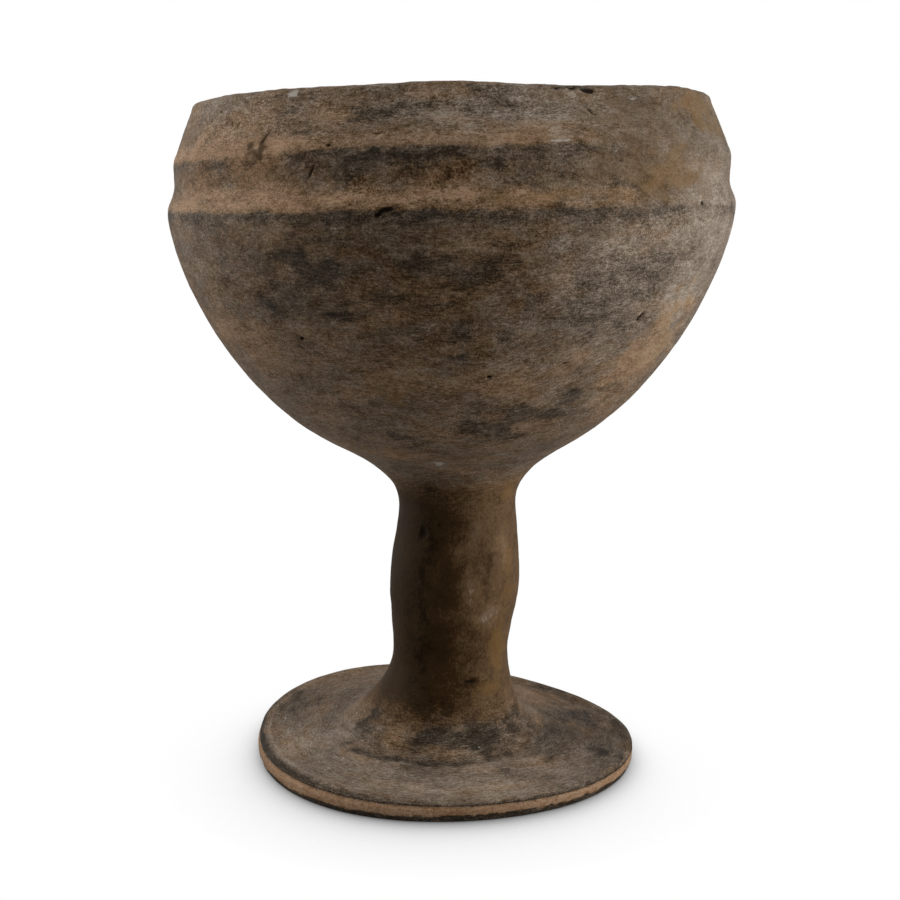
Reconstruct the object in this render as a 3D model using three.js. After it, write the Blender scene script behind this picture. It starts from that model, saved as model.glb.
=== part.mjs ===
// A handmade terracotta chalice: a deep bowl with two ridges below its lip, a swelling stem and
// a thin disc foot, fired as one piece. Millimetres, +Z up, the foot's underside on z = 0.
import * as THREE from 'three';

// Driving dimensions
const HEIGHT = 170;
const BOWL_RADIUS = 70.6;
const FOOT_RADIUS = 50.2;
const STEM_RADIUS = 15.5;
const WALL = 6.2;

// Heights of the parts of the profile, from the foot up
const FOOT_EDGE = 5.2;
const FLARE_TOP = 27;
const STEM_SWELL = 47;
const STEM_TOP = 68;
const BOWL_TURN = 85;
const LOWER_RIDGE = 144;
const NECK = 151;
const UPPER_RIDGE = 155;
const SHOULDER = 158;
const LIP_START = HEIGHT - 1.6;
const BOWL_FLOOR = BOWL_TURN + 1;

// Radii that follow from the driving dimensions
const FOOT_UNDER_RADIUS = FOOT_RADIUS - 0.8;
const FOOT_ROLL_RADIUS = FOOT_RADIUS - 2;
const FOOT_DISH_RADIUS = FOOT_RADIUS * 0.6;
const STEM_SWELL_RADIUS = STEM_RADIUS + 1.6;
const BOWL_TURN_RADIUS = STEM_RADIUS * 2;
const NECK_RADIUS = BOWL_RADIUS - 1.8;
const UPPER_RIDGE_RADIUS = BOWL_RADIUS - 1.6;
const SHOULDER_RADIUS = BOWL_RADIUS - 2.4;
const LIP_RADIUS = BOWL_RADIUS - 6.8;
const LIP_INNER_RADIUS = LIP_RADIUS - WALL + 1;
const LIP_CROWN_RADIUS = (LIP_RADIUS + LIP_INNER_RADIUS) / 2;
const INSIDE_RADIUS = BOWL_RADIUS - WALL - 0.2;

// Where the stem turns into the bowl, the wall leans out by this angle from upright
const TURN_LEAN = 60.7;
const TURN_REACH_DOWN = 14.8;
const TURN_REACH_UP = 31.3;

// Handmade irregularities: how far the centre line wanders at each height, [height, x, y]
const DRIFT = [
  [0, -3.6, 1.4],
  [FOOT_EDGE, -3.6, 1.4],
  [FLARE_TOP, -0.3, 0],
  [STEM_SWELL, 0.8, 0],
  [STEM_TOP, 1.5, 0],
  [BOWL_TURN + 8, -0.4, 0],
  [LOWER_RIDGE, 0, 0],
  [SHOULDER, 0.1, 0],
  [HEIGHT, -0.1, 0],
];
// The foot's outline is out of round by lobes: how many, how deep, and toward which angle
const FOOT_LOBES = [
  { count: 2, size: 2.3, toward: -42 },
  { count: 3, size: 1.6, toward: -10 },
];
const FOOT_THICKER = { size: 0.7, toward: 202 };
// The lip rises and dips softly: how much, toward which angle, and how wide in degrees
const LIP_RISES = [
  { size: 0.65, toward: -30, spread: 18 },
  { size: -0.35, toward: -67, spread: 10 },
  { size: 0.5, toward: -90, spread: 9 },
  { size: 0.35, toward: -125, spread: 30 },
  { size: -0.4, toward: 130, spread: 22 },
  { size: 0.4, toward: 65, spread: 25 },
];
// The upper ridge climbs a little on the front, in the same terms, easing out below and above it
const RIDGE_EASE_BELOW = 8;
const RIDGE_EASE_ABOVE = 9;
const RIDGE_RISES = [
  { size: 1.5, toward: -104, spread: 17 },
  { size: 1.5, toward: -66, spread: 17 },
];
// The bowl's rings climb toward +X by this slope
const BOWL_LEAN = 0.0155;

const SEGMENTS = 64;
const { smoothstep, lerp, degToRad, radToDeg, euclideanModulo } = THREE.MathUtils;
const at = (radius, height) => new THREE.Vector2(radius, height);

function line(from, to) {
  return new THREE.LineCurve(from, to);
}

function bend(from, corner, to) {
  return new THREE.QuadraticBezierCurve(from, corner, to);
}

function sweep(from, leave, arrive, to) {
  return new THREE.CubicBezierCurve(from, leave, arrive, to);
}

// Half of a swelling: both ends run straight up
function swelling(from, to) {
  const reach = (to.y - from.y) / 3;
  return sweep(from, at(from.x, from.y + reach), at(to.x, to.y - reach), to);
}

// The outline of the section from the middle of the underside, up the outside, over the lip and
// down to the middle of the bowl's floor. Each entry is a curve and its number of steps.
function section() {
  const underEdge = at(FOOT_UNDER_RADIUS, 0);
  const bandLow = at(FOOT_RADIUS - 0.2, 1.2);
  const bandHigh = at(FOOT_RADIUS, FOOT_EDGE - 1.5);
  const roll = at(FOOT_ROLL_RADIUS, FOOT_EDGE);
  const dish = at(FOOT_DISH_RADIUS, FOOT_EDGE + 1.2);
  const flareTop = at(STEM_RADIUS - 0.2, FLARE_TOP);
  const swell = at(STEM_SWELL_RADIUS, STEM_SWELL);
  const stemTop = at(STEM_RADIUS, STEM_TOP);
  const turn = at(BOWL_TURN_RADIUS, BOWL_TURN);
  const alongTurn = at(Math.sin(degToRad(TURN_LEAN)), Math.cos(degToRad(TURN_LEAN)));
  const belowTurn = turn.clone().addScaledVector(alongTurn, -TURN_REACH_DOWN);
  const aboveTurn = turn.clone().addScaledVector(alongTurn, TURN_REACH_UP);
  const lowerRidge = at(BOWL_RADIUS, LOWER_RIDGE);
  const neck = at(NECK_RADIUS, NECK);
  const upperRidge = at(UPPER_RIDGE_RADIUS, UPPER_RIDGE);
  const shoulder = at(SHOULDER_RADIUS, SHOULDER);
  const lipOut = at(LIP_RADIUS, LIP_START);
  const crown = at(LIP_CROWN_RADIUS, HEIGHT);
  const lipIn = at(LIP_INNER_RADIUS, HEIGHT - 3);
  const inside = at(INSIDE_RADIUS, NECK);
  const floor = at(0, BOWL_FLOOR);
  return [
    [line(at(0, 0), underEdge), 1],
    [line(underEdge, bandLow), 1],
    [line(bandLow, bandHigh), 1],
    [bend(bandHigh, at(FOOT_RADIUS + 0.2, FOOT_EDGE), roll), 3],
    [sweep(roll, at(roll.x - 4, FOOT_EDGE - 0.5), at(dish.x + 7, dish.y - 0.6), dish), 4],
    [sweep(dish, at(dish.x - 7.5, dish.y + 0.8), at(flareTop.x + 1.2, FLARE_TOP - 10), flareTop), 7],
    [swelling(flareTop, swell), 4],
    [swelling(swell, stemTop), 4],
    [sweep(stemTop, at(STEM_RADIUS, STEM_TOP + 5.6), belowTurn, turn), 7],
    [sweep(turn, aboveTurn, at(BOWL_RADIUS, LOWER_RIDGE - 10.5), lowerRidge), 10],
    [sweep(lowerRidge, at(BOWL_RADIUS, LOWER_RIDGE + 2.5), at(NECK_RADIUS, NECK - 3.4), neck), 4],
    [line(neck, upperRidge), 1],
    [bend(upperRidge, at(UPPER_RIDGE_RADIUS, UPPER_RIDGE + 1.7), shoulder), 2],
    [line(shoulder, lipOut), 2],
    [bend(lipOut, at(LIP_RADIUS - 0.5, HEIGHT), crown), 3],
    [bend(crown, at(LIP_INNER_RADIUS, HEIGHT), lipIn), 3],
    [sweep(lipIn, at(lipIn.x + 2.2, lipIn.y - 6), at(INSIDE_RADIUS, NECK + 7), inside), 4],
    [sweep(inside, at(INSIDE_RADIUS, NECK - 28), at(INSIDE_RADIUS * 0.66, BOWL_FLOOR), floor), 12],
  ];
}

function outline() {
  const points = [at(0, 0)];
  for (const [curve, steps] of section()) {
    points.push(...curve.getPoints(steps).slice(1));
  }
  return points;
}

// The centre line's place at a height, eased from one listed height to the next
function centreLine(height) {
  const above = DRIFT.findIndex(([level]) => level >= height);
  if (above < 1) {
    const [, x, y] = above < 0 ? DRIFT[DRIFT.length - 1] : DRIFT[0];
    return at(x, y);
  }
  const [low, lowX, lowY] = DRIFT[above - 1];
  const [high, highX, highY] = DRIFT[above];
  const share = smoothstep(height, low, high);
  return at(lerp(lowX, highX, share), lerp(lowY, highY, share));
}

function lobe({ count = 1, size, toward }, angle) {
  return size * Math.cos(count * (angle - degToRad(toward)));
}

function rise({ size, toward, spread }, angle) {
  const away = euclideanModulo(radToDeg(angle) - toward + 180, 360) - 180;
  return size * Math.exp(-0.5 * (away / spread) ** 2);
}

function total(shape, list, angle) {
  return list.reduce((sum, entry) => sum + shape(entry, angle), 0);
}

// Moves a point of the true turned form to where the potter's hand left it
function handmade(point) {
  const angle = Math.atan2(point.y, point.x);
  const radius = Math.hypot(point.x, point.y);
  const centre = centreLine(point.z);
  const onFoot = point.z < FLARE_TOP ? smoothstep(radius, STEM_RADIUS, FOOT_RADIUS) : 0;
  const onLip = smoothstep(point.z, SHOULDER, HEIGHT);
  const onBowl = smoothstep(point.z, STEM_TOP, LOWER_RIDGE);
  const ridgeBelow = smoothstep(point.z, UPPER_RIDGE - RIDGE_EASE_BELOW, UPPER_RIDGE);
  const ridgeAbove = smoothstep(point.z, SHOULDER, SHOULDER + RIDGE_EASE_ABOVE);
  const moved = radius + onFoot * total(lobe, FOOT_LOBES, angle);
  const thicker = onFoot * (point.z / FOOT_EDGE) * lobe(FOOT_THICKER, angle);
  const lean = onBowl * BOWL_LEAN * point.x;
  const climb = (ridgeBelow - ridgeAbove) * total(rise, RIDGE_RISES, angle);
  const wave = onLip * total(rise, LIP_RISES, angle);
  point.set(
    moved * Math.cos(angle) + centre.x,
    moved * Math.sin(angle) + centre.y,
    point.z + thicker + lean + climb + wave,
  );
}

function chaliceGeometry() {
  const geometry = new THREE.LatheGeometry(outline(), SEGMENTS);
  geometry.rotateX(Math.PI / 2);
  const positions = geometry.getAttribute('position');
  const point = new THREE.Vector3();
  for (let index = 0; index < positions.count; index += 1) {
    point.fromBufferAttribute(positions, index);
    handmade(point);
    positions.setXYZ(index, point.x, point.y, point.z);
  }
  geometry.computeVertexNormals();
  return geometry;
}

const clay = new THREE.MeshStandardMaterial({
  color: new THREE.Color(0.36, 0.3, 0.24),
  roughness: 0.62,
  metalness: 0,
});

const chalice = new THREE.Mesh(chaliceGeometry(), clay);
chalice.name = 'chalice';

const part = new THREE.Group();
part.add(chalice);

export default part;
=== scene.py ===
"""A handmade terracotta chalice: its turned form, worn surface, fired clay and a plain white studio."""
import math
from collections import namedtuple

import bmesh
import bpy
import numpy as np
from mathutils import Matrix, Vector, noise
from mathutils.bvhtree import BVHTree


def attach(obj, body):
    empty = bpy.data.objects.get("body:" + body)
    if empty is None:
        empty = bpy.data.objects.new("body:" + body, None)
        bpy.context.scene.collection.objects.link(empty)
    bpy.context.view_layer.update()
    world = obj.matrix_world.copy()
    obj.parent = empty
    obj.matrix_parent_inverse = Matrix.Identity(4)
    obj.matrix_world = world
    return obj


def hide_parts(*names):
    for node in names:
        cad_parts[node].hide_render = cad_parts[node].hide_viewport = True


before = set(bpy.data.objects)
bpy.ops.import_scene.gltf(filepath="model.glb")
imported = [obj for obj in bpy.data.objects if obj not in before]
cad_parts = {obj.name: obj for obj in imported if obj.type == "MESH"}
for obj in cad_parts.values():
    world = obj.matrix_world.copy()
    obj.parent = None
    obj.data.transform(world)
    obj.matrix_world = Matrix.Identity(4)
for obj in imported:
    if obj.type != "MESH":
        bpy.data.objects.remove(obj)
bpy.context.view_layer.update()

# Millimetres to metres: the sizes below are in millimetres
MM = 0.001

# Driving dimensions
HEIGHT = 170
BOWL_RADIUS = 70.6
FOOT_RADIUS = 50.2
STEM_RADIUS = 15.5
WALL = 6.2

# Heights of the parts of the profile, from the foot up
FOOT_EDGE = 5.2
BAND_LOW = 1.2
BAND_HIGH = FOOT_EDGE - 1.5
FOOT_DISH = FOOT_EDGE + 1.2
FLARE_TOP = 27
STEM_SWELL = 47
STEM_TOP = 68
BOWL_TURN = 85
LOWER_RIDGE = 144
NECK = 151
UPPER_RIDGE = 155
SHOULDER = 158
LIP_START = HEIGHT - 1.6
LIP_INSIDE = HEIGHT - 3
BOWL_FLOOR = BOWL_TURN + 1

# Radii that follow from the driving dimensions
FOOT_UNDER_RADIUS = FOOT_RADIUS - 0.8
BAND_LOW_RADIUS = FOOT_RADIUS - 0.2
FOOT_ROLL_RADIUS = FOOT_RADIUS - 2
FOOT_DISH_RADIUS = FOOT_RADIUS * 0.6
FLARE_TOP_RADIUS = STEM_RADIUS - 0.2
STEM_SWELL_RADIUS = STEM_RADIUS + 1.6
BOWL_TURN_RADIUS = STEM_RADIUS * 2
NECK_RADIUS = BOWL_RADIUS - 1.8
UPPER_RIDGE_RADIUS = BOWL_RADIUS - 1.6
SHOULDER_RADIUS = BOWL_RADIUS - 2.4
LIP_RADIUS = BOWL_RADIUS - 6.8
LIP_CORNER_RADIUS = LIP_RADIUS - 0.5
LIP_INNER_RADIUS = LIP_RADIUS - WALL + 1
LIP_CROWN_RADIUS = (LIP_RADIUS + LIP_INNER_RADIUS) / 2
INSIDE_RADIUS = BOWL_RADIUS - WALL - 0.2

# Where the stem turns into the bowl, the wall leans out by this angle from upright
TURN_LEAN = math.radians(60.7)
TURN_REACH_DOWN = 14.8
TURN_REACH_UP = 31.3

# Handmade irregularities: the centre line's place at each height, as height, x, y
DRIFT = (
    (0, -3.6, 1.4),
    (FOOT_EDGE, -3.6, 1.4),
    (FLARE_TOP, -0.3, 0),
    (STEM_SWELL, 0.8, 0),
    (STEM_TOP, 1.5, 0),
    (BOWL_TURN + 8, -0.4, 0),
    (LOWER_RIDGE, 0, 0),
    (SHOULDER, 0.1, 0),
    (HEIGHT, -0.1, 0),
)
# Lobes out of round: how many, how deep, and toward which angle
Lobe = namedtuple("Lobe", "count size toward")
FOOT_LOBES = (Lobe(2, 2.3, -42), Lobe(3, 1.6, -10))
FOOT_THICKER = Lobe(1, 0.7, 202)
# Soft rises and dips: how much, toward which angle, and how wide in degrees
Rise = namedtuple("Rise", "size toward spread")
LIP_RISES = (
    Rise(0.65, -30, 18),
    Rise(-0.35, -67, 10),
    Rise(0.5, -90, 9),
    Rise(0.35, -125, 30),
    Rise(-0.4, 130, 22),
    Rise(0.4, 65, 25),
)
# The upper ridge climbs a little on the front, easing out below and above it
RIDGE_RISES = (Rise(1.5, -104, 17), Rise(1.5, -66, 17))
RIDGE_EASE_BELOW = 8
RIDGE_EASE_ABOVE = 9
# The bowl's rings climb toward +X by this slope
BOWL_LEAN = 0.0155

# Handles of the outline's curves: how far they reach outward and up from the ends of the curves
ROLL_CORNER = (0.2, 0)
ROLL_HANDLE = (-4, -0.5)
DISH_OUTER_HANDLE = (7, -0.6)
DISH_INNER_HANDLE = (-7.5, 0.8)
FLARE_HANDLE = (1.2, -10)
STEM_HANDLE = (0, 5.6)
RIDGE_LOWER_HANDLE = (0, -10.5)
RIDGE_UPPER_HANDLE = (0, 2.5)
NECK_HANDLE = (0, -3.4)
SHOULDER_CORNER = (0, 1.7)
LIP_HANDLE = (2.2, -6)
INSIDE_UPPER_HANDLE = (0, 7)
INSIDE_LOWER_HANDLE = (0, -28)
FLOOR_HANDLE_SHARE = 0.66

# Mesh fineness: points round a full ring, and how much closer they sit on the front
RING = 352
HALF_RING = RING // 2
FRONT = math.radians(-90)
FRONT_CROWDING = 0.35
# How far apart the rings lie along the outline
UNDERSIDE_SPACING = 4
EDGE_SPACING = 0.4
FOOT_SPACING = 0.9
STEM_SPACING = 1
BOWL_SPACING = 0.9
RIDGE_SPACING = 0.6
WALL_SPACING = 0.7
LIP_SPACING = 0.45
LIP_INNER_SPACING = 0.6
NECK_INSIDE_SPACING = 2
HOLLOW_SPACING = 2.2
# Steps for measuring a curve's length, and samples for spreading the angles
LENGTH_STEPS = 40
TURN_SAMPLES = 2000

# The camera, fitted to the photograph: image size in pixels, lens in millimetres, place in metres
IMAGE = 900
LENS = 55
SENSOR = 36
CAMERA_PLACE = Vector((-0.0004, -0.354, 0.148))
CAMERA_PITCH = math.radians(10.6)


def bezier(controls, steps):
    """Points along a straight line or a quadratic or cubic curve, by repeated blending of its controls."""
    share = np.linspace(0, 1, steps + 1)[:, None]
    layer = [np.asarray(control, float) * np.ones_like(share) for control in controls]
    while len(layer) > 1:
        layer = [before * (1 - share) + after * share for before, after in zip(layer, layer[1:])]
    return layer[0]


def swelling(low, high):
    """Controls of half a swelling: both ends run straight up."""
    third = (high[1] - low[1]) / 3
    return low, (low[0], low[1] + third), (high[0], high[1] - third), high


def reach(end, handle):
    return end[0] + handle[0], end[1] + handle[1]


Stretch = namedtuple("Stretch", "controls spacing ring")


def section():
    """The section's outline, from the middle of the underside up the outside, over the lip and down to the
    middle of the bowl's floor, as curves with the spacing of their points and the points round each ring."""
    under_edge = (FOOT_UNDER_RADIUS, 0)
    band_low = (BAND_LOW_RADIUS, BAND_LOW)
    band_high = (FOOT_RADIUS, BAND_HIGH)
    roll = (FOOT_ROLL_RADIUS, FOOT_EDGE)
    dish = (FOOT_DISH_RADIUS, FOOT_DISH)
    flare_top = (FLARE_TOP_RADIUS, FLARE_TOP)
    swell = (STEM_SWELL_RADIUS, STEM_SWELL)
    stem_top = (STEM_RADIUS, STEM_TOP)
    turn = np.array((BOWL_TURN_RADIUS, BOWL_TURN))
    along_turn = np.array((math.sin(TURN_LEAN), math.cos(TURN_LEAN)))
    lower_ridge = (BOWL_RADIUS, LOWER_RIDGE)
    neck = (NECK_RADIUS, NECK)
    upper_ridge = (UPPER_RIDGE_RADIUS, UPPER_RIDGE)
    shoulder = (SHOULDER_RADIUS, SHOULDER)
    lip_out = (LIP_RADIUS, LIP_START)
    crown = (LIP_CROWN_RADIUS, HEIGHT)
    lip_in = (LIP_INNER_RADIUS, LIP_INSIDE)
    inside = (INSIDE_RADIUS, NECK)
    floor = (0, BOWL_FLOOR)
    roll_corner = reach((FOOT_RADIUS, FOOT_EDGE), ROLL_CORNER)
    dish_handles = reach(roll, ROLL_HANDLE), reach(dish, DISH_OUTER_HANDLE)
    flare_handles = reach(dish, DISH_INNER_HANDLE), reach(flare_top, FLARE_HANDLE)
    turn_handles = reach(stem_top, STEM_HANDLE), turn - TURN_REACH_DOWN * along_turn
    bowl_handles = turn + TURN_REACH_UP * along_turn, reach(lower_ridge, RIDGE_LOWER_HANDLE)
    neck_handles = reach(lower_ridge, RIDGE_UPPER_HANDLE), reach(neck, NECK_HANDLE)
    shoulder_corner = reach(upper_ridge, SHOULDER_CORNER)
    lip_corner = (LIP_CORNER_RADIUS, HEIGHT)
    inside_handles = reach(lip_in, LIP_HANDLE), reach(inside, INSIDE_UPPER_HANDLE)
    floor_handle = (INSIDE_RADIUS * FLOOR_HANDLE_SHARE, BOWL_FLOOR)
    hollow_handles = reach(inside, INSIDE_LOWER_HANDLE), floor_handle
    return (
        Stretch(((0, 0), under_edge), UNDERSIDE_SPACING, HALF_RING),
        Stretch((under_edge, band_low), EDGE_SPACING, RING),
        Stretch((band_low, band_high), EDGE_SPACING, RING),
        Stretch((band_high, roll_corner, roll), EDGE_SPACING, RING),
        Stretch((roll, *dish_handles, dish), FOOT_SPACING, RING),
        Stretch((dish, *flare_handles, flare_top), STEM_SPACING, HALF_RING),
        Stretch(swelling(flare_top, swell), STEM_SPACING, HALF_RING),
        Stretch(swelling(swell, stem_top), STEM_SPACING, HALF_RING),
        Stretch((stem_top, *turn_handles, turn), STEM_SPACING, HALF_RING),
        Stretch((turn, *bowl_handles, lower_ridge), BOWL_SPACING, RING),
        Stretch((lower_ridge, *neck_handles, neck), RIDGE_SPACING, RING),
        Stretch((neck, upper_ridge), RIDGE_SPACING, RING),
        Stretch((upper_ridge, shoulder_corner, shoulder), RIDGE_SPACING, RING),
        Stretch((shoulder, lip_out), WALL_SPACING, RING),
        Stretch((lip_out, lip_corner, crown), LIP_SPACING, RING),
        Stretch((crown, (LIP_INNER_RADIUS, HEIGHT), lip_in), LIP_INNER_SPACING, RING),
        Stretch((lip_in, *inside_handles, inside), NECK_INSIDE_SPACING, HALF_RING),
        Stretch((inside, *hollow_handles, floor), HOLLOW_SPACING, HALF_RING),
    )


Ring = namedtuple("Ring", "radius height along count")


def make_rings():
    """Every ring of the mesh: its radius, its height, how far along the outline it lies, and its points."""
    found = [Ring(0, 0, 0, 1)]
    for stretch in section():
        rough = bezier(stretch.controls, LENGTH_STEPS)
        length = np.linalg.norm(np.diff(rough, axis=0), axis=1).sum()
        steps = max(1, round(length / stretch.spacing))
        for radius, height in bezier(stretch.controls, steps)[1:]:
            step = math.hypot(radius - found[-1].radius, height - found[-1].height)
            found.append(Ring(radius, height, found[-1].along + step, stretch.ring))
    found[-1] = found[-1]._replace(count=1)
    return found


RINGS = make_rings()


def along_at(height):
    """The distance along the outline where the outside first reaches a height."""
    return next(ring.along for ring in RINGS if ring.height >= height)


# The distance along the outline where the lip gives way to the inside
LIP_END = next(ring.along for ring in reversed(RINGS) if ring.height >= HEIGHT - 1)


def ring_angles(count):
    """Angles round a ring, closer together on the front."""
    turned = np.linspace(-math.pi, math.pi, TURN_SAMPLES)
    share = (turned + FRONT_CROWDING * np.sin(turned) + math.pi) / (2 * math.pi)
    return FRONT + np.interp(np.arange(RING)[::RING // count] / RING, share, turned)


def smoothstep(value, low, high):
    share = np.clip((value - low) / (high - low), 0, 1)
    return share * share * (3 - 2 * share)


def band(values, low, high, soft):
    """1 between two values, easing to 0 outside them."""
    return smoothstep(values, low - soft, low + soft) * (1 - smoothstep(values, high - soft, high + soft))


def between(along, heights, soft):
    """1 between two heights of the outside, easing to 0 past them."""
    low, high = heights
    return band(along, along_at(low), along_at(high), soft)


def degrees_away(angle, toward):
    return (np.degrees(angle) - toward + 180) % 360 - 180


def lobe(shape, angle):
    return shape.size * np.cos(shape.count * (angle - math.radians(shape.toward)))


def rise(shape, angle):
    return shape.size * np.exp(-0.5 * (degrees_away(angle, shape.toward) / shape.spread) ** 2)


def centre_line(height):
    """The centre line's x and y at each height, eased from one listed height to the next."""
    x = np.full_like(height, DRIFT[0][1])
    y = np.full_like(height, DRIFT[0][2])
    for (low, low_x, low_y), (high, high_x, high_y) in zip(DRIFT, DRIFT[1:]):
        share = smoothstep(height, low, high)
        x += (high_x - low_x) * share
        y += (high_y - low_y) * share
    return x, y


def handmade(angle, radius, height):
    """Places of points of the true turned form after the potter's hand has moved them."""
    x, y = centre_line(height)
    on_foot = np.where(height < FLARE_TOP, smoothstep(radius, STEM_RADIUS, FOOT_RADIUS), 0)
    on_lip = smoothstep(height, SHOULDER, HEIGHT)
    on_bowl = smoothstep(height, STEM_TOP, LOWER_RIDGE)
    ridge_below = smoothstep(height, UPPER_RIDGE - RIDGE_EASE_BELOW, UPPER_RIDGE)
    ridge_above = smoothstep(height, SHOULDER, SHOULDER + RIDGE_EASE_ABOVE)
    moved = radius + on_foot * sum(lobe(shape, angle) for shape in FOOT_LOBES)
    thicker = on_foot * height / FOOT_EDGE * lobe(FOOT_THICKER, angle)
    lean = on_bowl * BOWL_LEAN * radius * np.cos(angle)
    wave = on_lip * sum(rise(shape, angle) for shape in LIP_RISES)
    wave += (ridge_below - ridge_above) * sum(rise(shape, angle) for shape in RIDGE_RISES)
    x += moved * np.cos(angle)
    y += moved * np.sin(angle)
    return np.stack((x, y, height + thicker + lean + wave), axis=1)


def stitch(lower, upper):
    """Faces between two rings of point numbers, of equal count or one half, double or a single point."""
    if len(lower) == 1:
        return [(lower[0], upper[i], upper[i - 1]) for i in range(len(upper))]
    if len(upper) == 1:
        return [(lower[i - 1], lower[i], upper[0]) for i in range(len(lower))]
    if len(lower) == len(upper):
        return [(lower[i - 1], lower[i], upper[i], upper[i - 1]) for i in range(len(lower))]
    if len(lower) < len(upper):
        return [tuple(reversed(face)) for face in stitch(upper, lower)]
    faces = []
    for i in range(len(upper)):
        after = (i + 1) % len(upper)
        middle = lower[2 * i + 1]
        faces.append((lower[2 * i], middle, upper[i]))
        faces.append((middle, upper[after], upper[i]))
        faces.append((middle, lower[(2 * i + 2) % len(lower)], upper[after]))
    return faces


def turned_form():
    """The smooth form: angle, distance along the outline, place of every point, and the faces."""
    angle, along, radius, height, faces = [], [], [], [], []
    before = None
    for ring in RINGS:
        start = len(angle)
        angle.extend(ring_angles(ring.count))
        along.extend([ring.along] * ring.count)
        radius.extend([ring.radius] * ring.count)
        height.extend([ring.height] * ring.count)
        numbers = range(start, start + ring.count)
        if before is not None:
            faces.extend(stitch(before, numbers))
        before = numbers
    angle, along = np.array(angle), np.array(along)
    return angle, along, handmade(angle, np.array(radius, float), np.array(height, float)), faces


def make_camera():
    data = bpy.data.cameras.new("camera")
    data.lens = LENS
    data.sensor_width = SENSOR
    camera = bpy.data.objects.new("camera", data)
    camera.location = CAMERA_PLACE
    camera.rotation_euler = (math.pi / 2 - CAMERA_PITCH, 0, 0)
    bpy.context.scene.collection.objects.link(camera)
    bpy.context.scene.camera = camera


def sight(x, y):
    """The direction from the camera through a pixel of the photograph."""
    focal = LENS / SENSOR * IMAGE
    right, down = (x - IMAGE / 2) / focal, (y - IMAGE / 2) / focal
    tilt, level = math.sin(CAMERA_PITCH), math.cos(CAMERA_PITCH)
    return Vector((right, level - down * tilt, -tilt - down * level)).normalized()


Pin = namedtuple("Pin", "angle along radius")


class Chart:
    """Finds the point of the smooth form that a pixel of the photograph shows."""

    def __init__(self, angle, along, places, faces):
        self.angle = angle
        self.along = along
        self.corners = [Vector(place) * MM for place in places]
        self.faces = faces
        self.tree = BVHTree.FromPolygons(self.corners, faces)

    def under(self, x, y):
        hit, _, face, _ = self.tree.ray_cast(CAMERA_PLACE, sight(x, y))
        numbers = list(self.faces[face])
        shares = np.array([1 / (MM * MM + (hit - self.corners[i]).length) for i in numbers])
        shares /= shares.sum()
        turned = np.exp(1j * self.angle[numbers]) @ shares
        return Pin(np.angle(turned), self.along[numbers] @ shares, math.hypot(hit.x, hit.y) / MM)


# Soft noise: feature size in millimetres, octaves, how much it is drawn out round the axis, and a seed
Grain = namedtuple("Grain", "size octaves stretch seed", defaults=(3, 1, 0))
SEED_STEPS = (7.3, 3.1, 5.7)
SIDEWAYS_GRAIN = Grain(7, 3, 1.5, 11)
UPWARD_GRAIN = Grain(7, 3, 1.5, 12)
# How strongly the edges of stains and of painted highlights and sheen wander
RAGGED = 1.1
RAGGED_BROAD = 0.5
# The squared distance, in half sizes, past which a mark or stain fades no further
FAR_OUT = 50


def read_values(mesh, name):
    values = np.zeros(len(mesh.vertices), np.float32)
    mesh.attributes[name].data.foreach_get("value", values)
    return values.astype(float)


def read_places(mesh, name):
    values = np.zeros(len(mesh.vertices) * 3, np.float32)
    mesh.vertices.foreach_get(name, values)
    return values.reshape(-1, 3).astype(float)


def write_values(mesh, name, values):
    mesh.attributes.new(name, "FLOAT", "POINT").data.foreach_set("value", values.astype(np.float32))


class Skin:
    """Every point of a mesh with its angle round the axis and its distance along the section's outline."""

    def __init__(self, mesh, chart):
        self.chart = chart
        self.angle = read_values(mesh, "angle")
        self.along = read_values(mesh, "along")
        self.places = read_places(mesh, "co") / MM
        self.normals = read_places(mesh, "normal")
        self.sideways = self.grain(SIDEWAYS_GRAIN)
        self.upward = self.grain(UPWARD_GRAIN)

    def across(self, pin):
        """How far each point lies from a pin round the axis, in millimetres."""
        return np.radians(degrees_away(self.angle, math.degrees(pin.angle))) * pin.radius

    def around(self, pin, wide, high, turn=0, edge=1, ragged=0):
        """1 at a pin, falling to 0 past an ellipse of these half sizes, turned up by some degrees."""
        across = self.across(pin) + ragged * wide * self.sideways
        up = self.along - pin.along + ragged * high * self.upward
        lean = math.radians(turn)
        major = (across * math.cos(lean) + up * math.sin(lean)) / wide
        minor = (up * math.cos(lean) - across * math.sin(lean)) / high
        return np.exp(-np.minimum(major ** 2 + minor ** 2, FAR_OUT) ** edge)

    def cover(self, patches, ragged=RAGGED):
        """How much the patches cover every point: the strongest one counts."""
        found = np.zeros(len(self.angle))
        for patch in patches:
            pin = self.chart.under(patch.x, patch.y)
            shade = self.around(pin, patch.wide, patch.high, ragged=ragged)
            found = np.maximum(found, patch.strength * shade)
        return found

    def grain(self, kind):
        """Soft noise of one kind at every point."""
        points = np.column_stack((self.places[:, :2], self.along * kind.stretch)) / kind.size
        offset = Vector([kind.seed * step for step in SEED_STEPS])
        return np.array([noise.fractal(Vector(point) + offset, 1.0, 2.0, kind.octaves) for point in points])


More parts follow.
